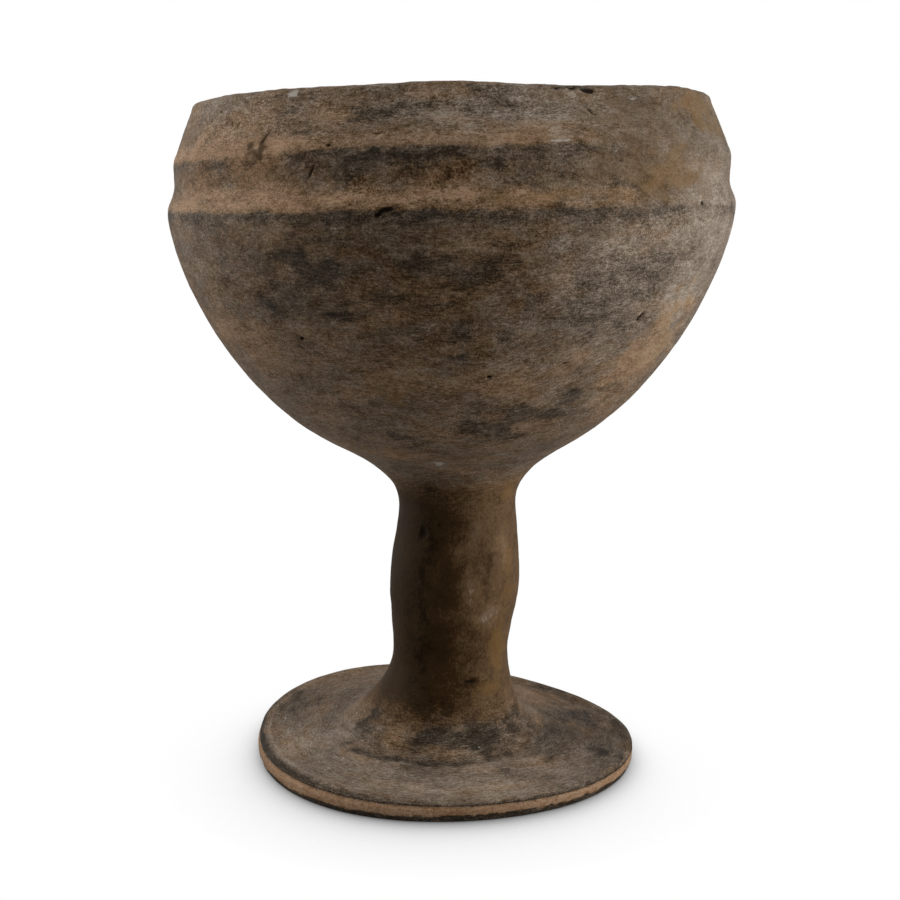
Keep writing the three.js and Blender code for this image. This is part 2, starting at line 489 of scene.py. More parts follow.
# Marks in the surface, placed by pixel of the photograph: half length, half width and depth in
# millimetres, turned in degrees
Dent = namedtuple("Dent", "x y long wide deep turn")
DENTS = (
    Dent(311, 173, 1.9, 0.32, 0.36, 52),
    Dent(386, 210, 1.8, 0.6, 0.9, 8),
    Dent(378, 215, 0.8, 0.5, 0.8, 30),
    Dent(387, 204, 2.4, 0.6, 0.2, 4),
    Dent(641, 316, 1.3, 0.48, 1.3, 53),
    Dent(490, 378, 0.62, 0.4, 0.9, 4),
    Dent(302, 339, 0.6, 0.45, 0.7, 0),
    Dent(328, 144, 0.6, 0.4, 0.45, 0),
    Dent(378, 133, 1.3, 0.26, 0.35, 8),
    Dent(232, 124, 1.0, 0.28, 0.42, 110),
    Dent(238, 125, 1.1, 0.26, 0.36, 60),
    Dent(590, 111, 1.6, 0.28, 0.4, -62),
    Dent(266, 136, 2.2, 0.22, 0.3, 58),
    Dent(588, 90, 1.7, 0.7, 0.7, -10),
    Dent(572, 88, 0.9, 0.5, 0.4, 5),
    Dent(556, 88, 0.8, 0.5, 0.35, 0),
    Dent(540, 86, 0.7, 0.4, 0.3, 0),
    Dent(468, 84, 1.2, 0.5, 0.3, 4),
    Dent(424, 533, 1.0, 1.5, 0.35, 0),
    Dent(470, 681, 2.0, 0.5, 0.4, 0),
    Dent(565, 364, 0.8, 0.45, 0.35, 20),
    Dent(526, 311, 0.5, 0.4, 0.35, 0),
    Dent(703, 203, 0.9, 0.7, 0.4, 30),
    Dent(559, 140, 2.6, 0.3, 0.06, -1),
)
# How a mark's edge falls off, and the depth from which its painted shade is quite dark
DENT_EDGE = 1.4
DARK_DEPTH = 0.6
# The mesh is divided more finely this many mark sizes, and this much, round the marks
REFINE_REACH = 2.4
REFINE_MARGIN = 0.6
REFINE_CUTS = 3

# The foot's rim is rounded off on the left, between these distances in from the groove under it
FOOT_ROLL = Rise(0.7, -160, 45)
ROLL_OUT = 1.1
ROLL_IN = 3.6
ROLL_LIFT = 0.4
GROOVE_DEPTH = 0.4
GROOVE_HALF = 0.4

# Unevenness of the surface in millimetres, by part, and its grain
SKIN_UNEVEN, SKIN_UNEVEN_GRAIN = 0.16, Grain(16)
SKIN_RIPPLE, SKIN_RIPPLE_GRAIN = 0.05, Grain(5, 3, 3, 1)
INSIDE_UNEVEN, INSIDE_UNEVEN_GRAIN = 0.3, Grain(15, 2, 1, 7)
STEM_UNEVEN, STEM_UNEVEN_GRAIN = 0.3, Grain(11, 2, 1, 2)
LIP_UNEVEN, LIP_UNEVEN_GRAIN = 0.16, Grain(3.5, 3, 1, 3)
EDGE_UNEVEN, EDGE_UNEVEN_GRAIN = 0.35, Grain(3, 3, 1, 4)
EDGE_WORN = 0.15
# Over how far the unevenness eases in at the ends of its part
SKIN_EASE = 0.5
STEM_EASE = 6
STEM_UNEVEN_HEIGHTS = (FLARE_TOP - 12, STEM_TOP + 8)
LIP_EASE = 1
INSIDE_EASE = 9
UNDER_EDGE = 0.2


def form_mesh(angle, along, places, faces):
    mesh = bpy.data.meshes.new("chalice_clay")
    mesh.from_pydata(places * MM, [], faces)
    write_values(mesh, "angle", angle)
    write_values(mesh, "along", along)
    return mesh


def refine(mesh, skin):
    """Divides the mesh more finely round the marks."""
    near = np.zeros(len(mesh.vertices))
    for dent in DENTS:
        pin = skin.chart.under(dent.x, dent.y)
        wide = dent.long * REFINE_REACH
        high = dent.wide * REFINE_REACH + REFINE_MARGIN
        near = np.maximum(near, skin.around(pin, wide, high, dent.turn))
    chosen = near > math.exp(-1)
    model = bmesh.new()
    model.from_mesh(mesh)
    edges = [edge for edge in model.edges if all(chosen[vertex.index] for vertex in edge.verts)]
    bmesh.ops.subdivide_edges(model, edges=edges, cuts=REFINE_CUTS, use_grid_fill=True)
    model.to_mesh(mesh)
    model.free()


def bump(distance, half):
    """1 at no distance, falling to 0 past a half width."""
    return np.exp(-(distance / half) ** 2)


def relief(skin):
    """How far each point stands out of the smooth form, in millimetres, and how deep in a mark it lies, which
    sets the mark's painted shade.
    """
    foot_low, groove = along_at(UNDER_EDGE), along_at(BAND_HIGH)
    outside = band(skin.along, foot_low, LIP_END, SKIN_EASE)
    inside = (1 - outside) * smoothstep(skin.along, LIP_END, LIP_END + INSIDE_EASE)
    on_stem = between(skin.along, STEM_UNEVEN_HEIGHTS, STEM_EASE)
    on_lip = band(skin.along, along_at(LIP_START), LIP_END, LIP_EASE)
    on_edge = band(skin.along, foot_low, along_at(BAND_LOW), SKIN_EASE)
    out = outside * SKIN_UNEVEN * skin.grain(SKIN_UNEVEN_GRAIN)
    out += outside * SKIN_RIPPLE * skin.grain(SKIN_RIPPLE_GRAIN)
    out += inside * INSIDE_UNEVEN * skin.grain(INSIDE_UNEVEN_GRAIN)
    out += on_stem * STEM_UNEVEN * skin.grain(STEM_UNEVEN_GRAIN)
    out += on_lip * LIP_UNEVEN * skin.grain(LIP_UNEVEN_GRAIN)
    out += on_edge * (EDGE_UNEVEN * skin.grain(EDGE_UNEVEN_GRAIN) - EDGE_WORN)
    out -= GROOVE_DEPTH * bump(skin.along - groove, GROOVE_HALF)
    rolled = rise(FOOT_ROLL, skin.angle)
    out -= rolled * bump(skin.along - groove - ROLL_OUT, ROLL_OUT)
    out += ROLL_LIFT * rolled * bump(skin.along - groove - ROLL_IN, ROLL_OUT)
    hollow = np.zeros(len(out))
    for dent in DENTS:
        pin = skin.chart.under(dent.x, dent.y)
        depth = skin.around(pin, dent.long, dent.wide, dent.turn, DENT_EDGE)
        out -= dent.deep * depth
        # How dark the mark's painted shade is
        hollow = np.maximum(hollow, depth * min(1, dent.deep / DARK_DEPTH))
    return out, hollow


# Stains, and patches of painted highlight and sheen, placed by pixel of the photograph: half width, half
# height in millimetres, and strength
Patch = namedtuple("Patch", "x y wide high strength")
# Separate spots of soot, of bare clay with painted highlights, and of pale earth
SOOT = (
    Patch(287, 115, 4.2, 2.2, 0.6), Patch(385, 110, 8.8, 2.8, 0.75), Patch(303, 133, 4.5, 1.0, 0.6),
    Patch(473, 88, 3.0, 1.0, 0.7), Patch(508, 98, 2.8, 2.0, 0.7), Patch(470, 110, 1.8, 2.0, 0.5),
    Patch(575, 88, 5.2, 0.8, 0.8), Patch(640, 125, 8.0, 3.0, 0.35), Patch(716, 147, 3.5, 1.0, 0.6),
    Patch(365, 157, 6.8, 1.8, 0.95), Patch(352, 172, 2.2, 2.0, 0.85), Patch(318, 153, 3.4, 1.1, 0.6),
    Patch(430, 155, 6.2, 1.5, 0.6), Patch(512, 150, 6.2, 1.3, 0.9), Patch(582, 150, 6.5, 1.4, 0.8),
    Patch(494, 165, 2.5, 1.3, 0.8), Patch(420, 175, 8.5, 2.0, 0.55), Patch(630, 183, 8.0, 2.2, 0.65),
    Patch(560, 175, 6.5, 1.8, 0.35), Patch(215, 165, 13, 1.2, 0.4), Patch(228, 218, 13, 1.4, 0.6),
    Patch(332, 215, 4.8, 1.4, 0.95), Patch(387, 203, 2.6, 0.8, 1.0), Patch(427, 214, 4.6, 1.4, 0.85),
    Patch(480, 216, 6.2, 1.4, 0.5), Patch(550, 210, 7.0, 1.6, 0.8), Patch(640, 212, 13, 1.6, 0.75),
    Patch(225, 272, 8.0, 4.0, 0.5), Patch(308, 266, 8.5, 5.0, 0.95), Patch(268, 305, 4.0, 3.0, 0.8),
    Patch(345, 314, 4.3, 1.8, 0.75), Patch(422, 262, 5.0, 3.1, 0.9), Patch(470, 270, 7.6, 5.6, 0.7),
    Patch(400, 300, 10.5, 3.0, 0.55), Patch(400, 335, 12.6, 2.3, 0.55), Patch(467, 332, 3.4, 2.2, 0.8),
    Patch(510, 340, 3.0, 2.4, 0.75), Patch(455, 358, 2.5, 1.4, 0.85), Patch(595, 322, 5.4, 3.8, 0.7),
    Patch(592, 282, 6.8, 3.2, 0.45), Patch(560, 245, 8.0, 2.2, 0.35), Patch(573, 398, 6.2, 2.6, 0.9),
    Patch(535, 414, 7.0, 3.0, 0.85), Patch(610, 385, 4.0, 1.6, 0.6), Patch(495, 430, 7.5, 5.0, 0.85),
    Patch(362, 405, 5.6, 3.0, 0.5), Patch(413, 441, 5.2, 2.6, 0.8), Patch(440, 420, 4.2, 2.4, 0.4),
    Patch(300, 350, 5.5, 2.5, 0.35), Patch(545, 365, 4.5, 2.0, 0.4), Patch(530, 300, 5.2, 2.2, 0.45),
    Patch(645, 276, 9.0, 7.0, 0.6), Patch(680, 262, 7.0, 4.0, 0.5), Patch(424, 600, 3.2, 34, 0.55),
    Patch(424, 533, 1.2, 1.6, 0.9), Patch(470, 682, 2.6, 1.4, 0.8), Patch(430, 708, 8.0, 5.0, 0.65),
    Patch(462, 738, 13, 4.5, 0.8), Patch(368, 720, 3.4, 6.0, 0.8), Patch(424, 738, 4.2, 5.0, 0.9),
    Patch(490, 743, 6.0, 5.0, 0.95), Patch(395, 761, 13, 1.7, 1.0), Patch(455, 764, 9.0, 1.7, 0.9),
    Patch(502, 768, 3.6, 2.4, 0.6), Patch(541, 745, 6.0, 4.0, 0.5), Patch(590, 719, 6.5, 5.0, 0.7),
    Patch(604, 753, 5.0, 4.5, 0.75), Patch(512, 722, 6.0, 4.0, 0.7), Patch(300, 700, 9.0, 6.0, 0.45),
)
# Bare clay, with painted highlight on the ridges' tops and along the bowl's lower right edge
BARE_AND_HIGHLIT = (
    Patch(335, 198, 6.2, 1.4, 1.3), Patch(450, 196, 24, 1.5, 1.9), Patch(240, 196, 22, 1.7, 0.9),
    Patch(400, 138, 15, 1.2, 0.7), Patch(530, 128, 8.6, 2.2, 0.6), Patch(330, 137, 6.0, 1.0, 0.8),
    Patch(215, 130, 14, 4.0, 0.45), Patch(330, 118, 3.0, 3.0, 0.6), Patch(452, 118, 4.2, 2.2, 0.6),
    Patch(440, 95, 5.5, 1.2, 0.5), Patch(700, 180, 14, 4.0, 0.3), Patch(655, 240, 8.4, 2.8, 0.4),
    Patch(500, 238, 3.8, 2.2, 0.6), Patch(230, 330, 11, 7.0, 0.5), Patch(380, 385, 13, 3.6, 0.5),
    Patch(402, 455, 8.0, 4.0, 0.5), Patch(505, 395, 5.5, 3.2, 0.6), Patch(600, 398, 10, 5.0, 0.5),
    Patch(640, 360, 12, 8.0, 0.8), Patch(662, 338, 9.0, 10, 1.2), Patch(674, 312, 6.0, 8.0, 0.7),
    Patch(396, 733, 2.8, 3.4, 1.0), Patch(470, 790, 16, 3.0, 0.5), Patch(300, 745, 6.0, 9.0, 0.45),
    Patch(345, 753, 5.0, 2.4, 0.6), Patch(438, 751, 5.0, 2.0, 0.7), Patch(487, 770, 5.0, 1.4, 0.7),
    Patch(545, 762, 4.0, 3.0, 0.6), Patch(385, 785, 8.0, 2.4, 0.5), Patch(537, 720, 2.4, 2.4, 0.6),
)
PALE = (
    Patch(296, 92, 1.3, 1.0, 1.05), Patch(440, 463, 1.7, 1.2, 1.15), Patch(384, 207, 1.7, 0.25, 0.8),
    Patch(470, 542, 2.4, 2.4, 0.36), Patch(500, 552, 2.2, 5.0, 0.34), Patch(474, 600, 1.8, 3.4, 0.36),
    Patch(490, 614, 3.4, 2.4, 0.4), Patch(284, 719, 1.8, 0.5, 0.8), Patch(318, 731, 1.2, 0.9, 0.6),
    Patch(480, 747, 0.6, 0.5, 0.9), Patch(633, 99, 1.4, 1.2, 0.65), Patch(559, 140, 2.4, 0.22, 1.4),
)
# Olive, golden and dark brown clay, and worn skin that shows light lines
OLIVE_STAINS = (
    Patch(250, 149, 1.3, 1.1, 1.3), Patch(253, 154, 2.4, 1.1, 1.0), Patch(260, 151, 1.0, 2.0, 1.3),
    Patch(258, 158, 1.0, 1.2, 1.3), Patch(266, 148, 1.1, 0.8, 1.1), Patch(246, 157, 1.6, 0.7, 0.9),
    Patch(400, 397, 2.2, 1.6, 0.6),
)
GOLDEN_STAINS = (
    Patch(700, 108, 12, 6.5, 1.3), Patch(718, 130, 9.0, 5.0, 0.8), Patch(668, 175, 12, 6.0, 0.9),
    Patch(570, 196, 12, 2.0, 0.8), Patch(640, 150, 26, 13, 0.5), Patch(508, 490, 3.0, 6.0, 0.9),
    Patch(497, 640, 4.0, 10, 0.9), Patch(508, 575, 3.0, 9.0, 0.7), Patch(484, 690, 4.5, 3.0, 0.9),
    Patch(668, 328, 7.0, 8.0, 0.6), Patch(265, 352, 12, 6.0, 0.5), Patch(400, 397, 3.0, 2.4, 0.9),
    Patch(290, 250, 10, 4.0, 0.5),
)
UMBER = (
    Patch(215, 178, 16, 5.0, 0.7), Patch(450, 290, 16, 12, 0.6), Patch(430, 180, 12, 3.0, 0.7),
)
WORN = (
    Patch(470, 122, 24, 4.0, 1.2), Patch(430, 145, 10, 1.2, 0.8), Patch(600, 235, 12, 3.0, 0.8),
    Patch(640, 270, 12, 5.0, 0.9), Patch(600, 320, 10, 6.0, 0.8), Patch(570, 212, 8.0, 1.5, 0.8),
    Patch(500, 280, 16, 14, 0.5), Patch(340, 165, 6.0, 3.0, 0.5), Patch(465, 748, 12, 6.0, 0.8),
    Patch(300, 250, 14, 7.0, 0.45), Patch(560, 400, 14, 7.0, 0.6), Patch(330, 745, 12, 10, 0.5),
)
# Broad smoke shading under the separate stains, greyer clay with painted sheen, smoother skin and coarser
# skin
SMOKE = (
    Patch(430, 290, 34, 20, 0.34), Patch(470, 400, 26, 14, 0.08), Patch(300, 280, 14, 14, 0.27),
    Patch(590, 310, 12, 9, 0.22), Patch(440, 162, 40, 5.0, 0.24), Patch(430, 112, 34, 6.0, 0.08),
    Patch(388, 206, 3.2, 1.2, 1.1), Patch(650, 118, 14, 7.0, 0.15), Patch(640, 170, 14, 7.0, 0.34),
    Patch(560, 212, 16, 4.0, 0.28), Patch(580, 258, 10, 6.0, 0.3), Patch(700, 108, 9.0, 6.0, 0.2),
    Patch(560, 695, 12, 5.0, 0.55), Patch(617, 732, 8.0, 8.0, 0.65), Patch(484, 580, 3.4, 9, 0.75),
    Patch(460, 735, 24, 11, 0.36), Patch(530, 415, 14, 6.0, 0.25), Patch(575, 735, 14, 12, 0.52),
    Patch(400, 761, 14, 1.9, 0.5), Patch(462, 764, 7.0, 2.0, 0.4), Patch(490, 743, 6.0, 5.0, 0.6),
    Patch(424, 738, 4.2, 5.0, 0.4), Patch(368, 720, 3.4, 6.0, 0.5), Patch(590, 719, 6.5, 5.0, 0.45),
    Patch(604, 753, 5.0, 4.5, 0.5), Patch(480, 716, 12, 5.0, 0.5), Patch(300, 700, 10, 7.0, 0.4),
)
# Greyer clay, with painted sheen at the bowl's right edge and on the stem's right side
GREY_AND_SHEEN = (
    Patch(640, 130, 16, 8.0, 0.4), Patch(530, 112, 24, 8.0, 1.0), Patch(212, 108, 10, 4.0, 0.8),
    Patch(620, 280, 18, 20, 0.9), Patch(716, 235, 22, 24, 1.6), Patch(470, 530, 5.0, 6.0, 1.3),
    Patch(472, 590, 3.2, 6.0, 1.4), Patch(488, 614, 4.5, 3.2, 1.9), Patch(503, 545, 2.5, 7.0, 1.1),
    Patch(450, 785, 50, 12, 1.0), Patch(320, 740, 16, 14, 0.9), Patch(190, 260, 10, 14, 0.3),
)
CALM = (
    Patch(650, 125, 16, 8.0, 0.8), Patch(690, 170, 14, 8.0, 0.6),
)
COARSE = (
    Patch(620, 280, 16, 12, 0.7), Patch(500, 425, 14, 8.0, 0.5), Patch(450, 770, 46, 16, 0.15),
    Patch(440, 112, 40, 6.0, 1.0), Patch(440, 195, 30, 2.5, 0.8), Patch(240, 120, 20, 6.0, 0.6),
)
# Dark brown all round the stem, deepest on the front left, with an edge that wanders by this share
STEM_DARKENING = (Rise(0.75, -120, 38), Rise(0.35, 170, 50), Rise(0.5, 90, 60))
STEM_DARKENING_LEAST = 0.2
STEM_DARKENING_WANDER = 0.3
STEM_SHADE_EASE = 8
STEM_SHADE_HEIGHTS = (FLARE_TOP - 13, STEM_TOP + 6)
# On the stem the grain runs upward: its height counts for less there by this share
STEM_DRAWN = 0.65
STEM_DRAWN_EASE = 9
STEM_DRAWN_HEIGHTS = (FLARE_TOP - 8, STEM_TOP + 4)
DRAWN_LEVELS = 600
# Low on the bowl's right the grain climbs outward
SLANT = Patch(560, 385, 24, 14, 0.35)

# Soot on the back: how many spots, between which heights and angles, how wide, how high for their
# width, and how strong
BACK_STAINS = 44
BACK_SEED = 7
BACK_HEIGHTS = (FOOT_EDGE + 1, SHOULDER + 8)
BACK_ANGLES = (5, 175)
BACK_WIDE = (3, 13)
BACK_HIGH = (0.3, 0.7)
BACK_STRONG = (0.45, 0.9)

# The foot's tan edge: its lowest and highest place, its chipped lower side, and how softly it ends
TAN_LOW = 1.3
TAN_HIGH = FOOT_EDGE - 1.6
TAN_EASE = 0.2
CHIP_LIFT = 0.2
CHIP_ROLLED = 0.7
CHIP_SIZE, CHIP_GRAIN = 0.5, Grain(2.4, 4, 1, 5)
TAN_WANDER, TAN_WANDER_GRAIN = 0.2, Grain(2, 4, 1, 6)
DARK_LOW = 0.1
# Over the tan edge: where the groove, painted dark as shade, the dark rounded rim, with soot and painted
# shade, and the painted highlight within lie
GROOVE_FROM, GROOVE_TO = 0.1, 0.6
RIM_TO, RIM_WIDER = 1, 1.8
RIM_EASE, RIM_SOFTER = 0.4, 0.2
INNER_FROM, INNER_TO, INNER_EASE = 3.6, 4.4, 0.6

# The ridges' worn crests, also painted highlight, and sooty hollows, also painted shade: how wide they fade
# and how their lines wander
CREST_EASE = 0.3
CREST_FADE = (1, 5)
HOLLOW_FADE = (5.5, 1)
LOWER_CREST = 0.6
UPPER_CREST = -0.4
CREST_WANDER, CREST_WANDER_GRAIN = 0.5, Grain(4, 4, 2, 8)
# Between these angles on the right they hardly show, and behind only in places
QUIET_FROM, QUIET_TO, QUIET_EASE = -66, 0, 12
BEHIND = (-0.5, 0.2)
PLACES, PLACES_GRAIN = (-0.3, 0.3), Grain(24, 3, 1, 9)
QUIET_CREST = 0.25
BEHIND_CREST = 0.2
BEHIND_HOLLOW = 0.4


def strongest(*covers):
    return np.maximum.reduce(covers)


def back_stains(skin):
    """Soot on the side away from the camera, scattered at random places."""
    chance = np.random.default_rng(BACK_SEED)
    along = [ring.along for ring in RINGS]
    radius = [ring.radius for ring in RINGS]
    found = np.zeros(len(skin.angle))
    for _ in range(BACK_STAINS):
        place = chance.uniform(*(along_at(height) for height in BACK_HEIGHTS))
        pin = Pin(math.radians(chance.uniform(*BACK_ANGLES)), place, np.interp(place, along, radius))
        wide = chance.uniform(*BACK_WIDE) * pin.radius / BOWL_RADIUS
        stain = skin.around(pin, wide, wide * chance.uniform(*BACK_HIGH), ragged=RAGGED)
        found = np.maximum(found, chance.uniform(*BACK_STRONG) * stain)
    return found


def crest(along, edge):
    """The worn crest of a ridge, lightened also as a painted highlight: sharp below, fading upward."""
    start, end = CREST_FADE
    sharp = smoothstep(along, edge - CREST_EASE, edge + CREST_EASE)
    return sharp * (1 - smoothstep(along, edge + start, edge + end))


def under_crest(along, edge):
    """The sooty hollow under a ridge, darkened also as painted shade: sharp above, fading downward."""
    start, end = HOLLOW_FADE
    sharp = 1 - smoothstep(along, edge - CREST_EASE, edge + CREST_EASE)
    return sharp * smoothstep(along, edge - start, edge - end)


def ridge_wear_and_light(skin):
    """How much each point lies on the worn crest of a ridge, also a painted highlight, and in the sooty
    hollow under one, also painted shade.
    """
    lower = along_at(LOWER_RIDGE) + LOWER_CREST
    upper = along_at(UPPER_RIDGE + 1) + UPPER_CREST
    behind = smoothstep(np.sin(skin.angle), *BEHIND)
    clear = 1 - band(np.degrees(skin.angle), QUIET_FROM, QUIET_TO, QUIET_EASE)
    clear = clear * (1 - behind * smoothstep(skin.grain(PLACES_GRAIN), *PLACES))
    wavy = skin.along + CREST_WANDER * skin.grain(CREST_WANDER_GRAIN)
    lower_crest = QUIET_CREST + (1 - QUIET_CREST - BEHIND_CREST * behind) * clear
    crests = strongest(lower_crest * crest(wavy, lower), clear * crest(wavy, upper))
    lower_hollow = 1 - BEHIND_HOLLOW * behind
    hollows = strongest(lower_hollow * under_crest(wavy, lower), clear * under_crest(wavy, upper))
    return crests, hollows


Foot = namedtuple("Foot", "tan under groove rim inner")


def foot_edge(skin):
    """How much each point lies on the foot's bare tan edge, on the dark edge under it, in the groove over it,
    painted dark as shade, on the dark rim above, with soot and painted shade, and on the lighter line of
    painted highlight within the rounded part of the rim."""
    low, high = along_at(TAN_LOW), along_at(TAN_HIGH)
    rolled = rise(FOOT_ROLL, skin.angle) / FOOT_ROLL.size
    aside = strongest(rolled, np.abs(np.cos(skin.angle)) ** 0.5)
    chipped = low + CHIP_LIFT - CHIP_ROLLED * rolled + CHIP_SIZE * skin.grain(CHIP_GRAIN)
    uneven = skin.along + TAN_WANDER * skin.grain(TAN_WANDER_GRAIN)
    rim_end = high + RIM_TO + RIM_WIDER * rolled
    return Foot(
        tan=band(uneven, chipped, high, TAN_EASE),
        under=band(uneven, along_at(DARK_LOW) - 1, chipped, TAN_EASE),
        groove=band(uneven, high + GROOVE_FROM, high + GROOVE_TO, TAN_EASE),
        rim=aside * band(uneven, high + GROOVE_TO, rim_end, RIM_EASE + RIM_SOFTER * rolled),
        inner=rolled * band(uneven, high + INNER_FROM, high + INNER_TO, INNER_EASE),
    )


def grain_coordinates(skin):
    """Places for the clay's grain: drawn upward on the stem, and climbing outward low on the bowl's right."""
    levels = np.linspace(0, skin.along.max(), DRAWN_LEVELS)
    stem = between(levels, STEM_DRAWN_HEIGHTS, STEM_DRAWN_EASE)
    drawn = np.interp(skin.along, levels, np.cumsum(1 - STEM_DRAWN * stem) * levels[1])
    pin = skin.chart.under(SLANT.x, SLANT.y)
    drawn -= SLANT.strength * skin.across(pin) * skin.around(pin, SLANT.wide, SLANT.high)
    return np.column_stack((skin.places[:, :2], drawn)) * MM


# How the parts add up: soot and smoke, both with painted shade, and then tone with painted highlights and
# sheen, warmth, rust and calm
# The ridges' hollows: soot and painted shade
HOLLOW_SOOT_AND_SHADE, HOLLOW_SOOT_AND_SHADE_VARIES = 0.5, 0.3
# The foot's rounded rim: soot and painted shade
RIM_SOOT_AND_SHADE = 0.75
# The ridges' crests: worn clay and painted highlight
CREST_WEAR_AND_HIGHLIGHT, CREST_WEAR_AND_HIGHLIGHT_VARIES = 0.8, 0.4
STEM_UMBER = 1.2
# Painted shade in the foot's groove, and smoke with painted shade on its rounded rim
GROOVE_SHADE, UNDER_SMOKE, RIM_SMOKE_AND_SHADE = 0.3, 0.35, 0.5
TONE, TONE_SMOKE_AND_SHADE, TONE_BARE_AND_HIGHLIT, TONE_GREY = 0.6, 0.4, 0.2, 0.12
# The lighter line within the foot's rim is a painted highlight
INNER_HIGHLIGHT = 2.5
WARMTH_BARE_AND_HIGHLIT, WARMTH_TAN, WARMTH_GREY = 0.8, 2, 0.5
RUST_WARMTH, RUST_STEM = 0.25, 0.5
STEM_CALM, INSIDE_CALM = 1.05, 0.6
INSIDE_FROM, INSIDE_TO = 2, 14


def clay_values(skin):
    """How sooty, light, warm, rusty and calm the clay is at every point, with painted shade in its soot and
    smoke and painted highlights and sheen in its lightness.
    """
    foot = foot_edge(skin)
    crests, hollows = ridge_wear_and_light(skin)
    stem = between(skin.along, STEM_SHADE_HEIGHTS, STEM_SHADE_EASE)
    inside = smoothstep(skin.along, LIP_END + INSIDE_FROM, LIP_END + INSIDE_TO)
    # Soot and painted shade in the hollows under the ridges
    hollow_soot_and_shade = (HOLLOW_SOOT_AND_SHADE + HOLLOW_SOOT_AND_SHADE_VARIES * skin.sideways) * hollows
    # Soot and painted shade on the foot's rim, painted shade in its groove
    edge_soot_and_shade = strongest(RIM_SOOT_AND_SHADE * foot.rim, foot.groove, foot.under)
    # Soot, with the painted shade of the ridges' hollows and the foot's groove and rim
    soot_and_shade = strongest(skin.cover(SOOT), back_stains(skin), hollow_soot_and_shade, edge_soot_and_shade) * (1 - foot.tan)
    # Worn clay and painted highlight on the ridges' crests
    crest_wear_and_highlight = (CREST_WEAR_AND_HIGHLIGHT + CREST_WEAR_AND_HIGHLIGHT_VARIES * skin.upward) * crests
    # Bare clay, with painted highlights
    bare_and_highlit = strongest(skin.cover(BARE_AND_HIGHLIT), foot.tan, crest_wear_and_highlight)
    wandering = skin.angle + STEM_DARKENING_WANDER * skin.sideways
    stem_darkening = STEM_DARKENING_LEAST + sum(rise(shape, wandering) for shape in STEM_DARKENING)
    # Smoke, with painted shade in the foot's groove and on its rim added below
    smoke_and_shade = strongest(skin.cover(SMOKE), stem * stem_darkening) * (1 - foot.tan)
    smoke_and_shade += GROOVE_SHADE * foot.groove + UNDER_SMOKE * foot.under + RIM_SMOKE_AND_SHADE * foot.rim
    # Greyer clay and painted sheen
    grey = skin.cover(GREY_AND_SHEEN, RAGGED_BROAD)
    light = TONE_BARE_AND_HIGHLIT * bare_and_highlit + TONE_GREY * strongest(grey, INNER_HIGHLIGHT * foot.inner)
    brown = strongest(bare_and_highlit, skin.cover(UMBER), STEM_UMBER * stem, WARMTH_TAN * foot.tan)
    warmth = WARMTH_BARE_AND_HIGHLIT * brown - WARMTH_GREY * grey
    calm = strongest(skin.cover(CALM), STEM_CALM * stem, INSIDE_CALM * inside)
    return {
        "soot_and_shade": soot_and_shade,
        "tone": TONE - TONE_SMOKE_AND_SHADE * smoke_and_shade + light,
        "warmth": warmth,
        "rust": RUST_WARMTH * warmth - RUST_STEM * stem,
        "calm": calm - skin.cover(COARSE),
    }


def paint(mesh, skin, hollow):
    """Stores on every point what the clay is like there, with its painted shade and highlights."""
    values = clay_values(skin)
    values["pale"] = skin.cover(PALE)
    values["olive"] = skin.cover(OLIVE_STAINS)
    values["golden"] = skin.cover(GOLDEN_STAINS)
    values["worn"] = skin.cover(WORN)
    values["hollow"] = hollow
    for name, value in values.items():
        write_values(mesh, name, value)
    attribute = mesh.attributes.new("skin", "FLOAT_VECTOR", "POINT")
    attribute.data.foreach_set("vector", grain_coordinates(skin).astype(np.float32).ravel())


def make_chalice():
    form = turned_form()
    chart = Chart(*form)
    mesh = form_mesh(*form)
    refine(mesh, Skin(mesh, chart))
    skin = Skin(mesh, chart)
    out, hollow = relief(skin)
    moved = (skin.places + skin.normals * out[:, None]) * MM
    moved[:, 2] = np.maximum(moved[:, 2], 0)
    mesh.vertices.foreach_set("co", moved.astype(np.float32).ravel())
    paint(mesh, skin, hollow)
    mesh.shade_smooth()
    mesh.materials.append(clay_material())
    piece = bpy.data.objects.new("chalice_clay", mesh)
    bpy.context.scene.collection.objects.link(piece)
    return piece


def tint(red, green, blue):
    """A colour given in the 0 to 255 values of a picture, as linear light."""
    shares = np.array((red, green, blue)) / 255
    linear = np.where(shares <= 0.04045, shares / 12.92, ((shares + 0.055) / 1.055) ** 2.4)
    return (*linear, 1)


# Colours of the clay from sooty and shaded to bare and highlit, where it fired warm and where it fired cool
WARM = (
    (0.0, tint(27, 15, 2)),
    (0.3, tint(67, 47, 25)),
    (0.55, tint(124, 97, 69)),
    (0.8, tint(167, 137, 108)),
    (1.0, tint(200, 174, 146)),
)
COOL = (
    (0.0, tint(36, 31, 25)),
    (0.3, tint(64, 56, 47)),
    (0.55, tint(113, 99, 85)),
    (0.8, tint(154, 138, 121)),
    (1.0, tint(192, 178, 163)),
)
ORANGE = tint(170, 112, 70)
OLIVE = tint(66, 46, 18)
GOLDEN = tint(140, 106, 58)
WORN_CLAY = tint(154, 138, 121)
WHITE_EARTH = tint(200, 195, 186)
# Painted shade in the hollows of the marks
PIT_SHADE = tint(22, 17, 13)
SHEEN = tint(255, 225, 190)
WHITE = (1, 1, 1, 1)
ORANGE_SHARE = 0.5
SHEEN_LEVEL = 0.15

# The values that are painted on the mesh
PAINTED = ("soot_and_shade", "tone", "warmth", "rust", "calm", "pale", "olive", "golden", "worn", "hollow")
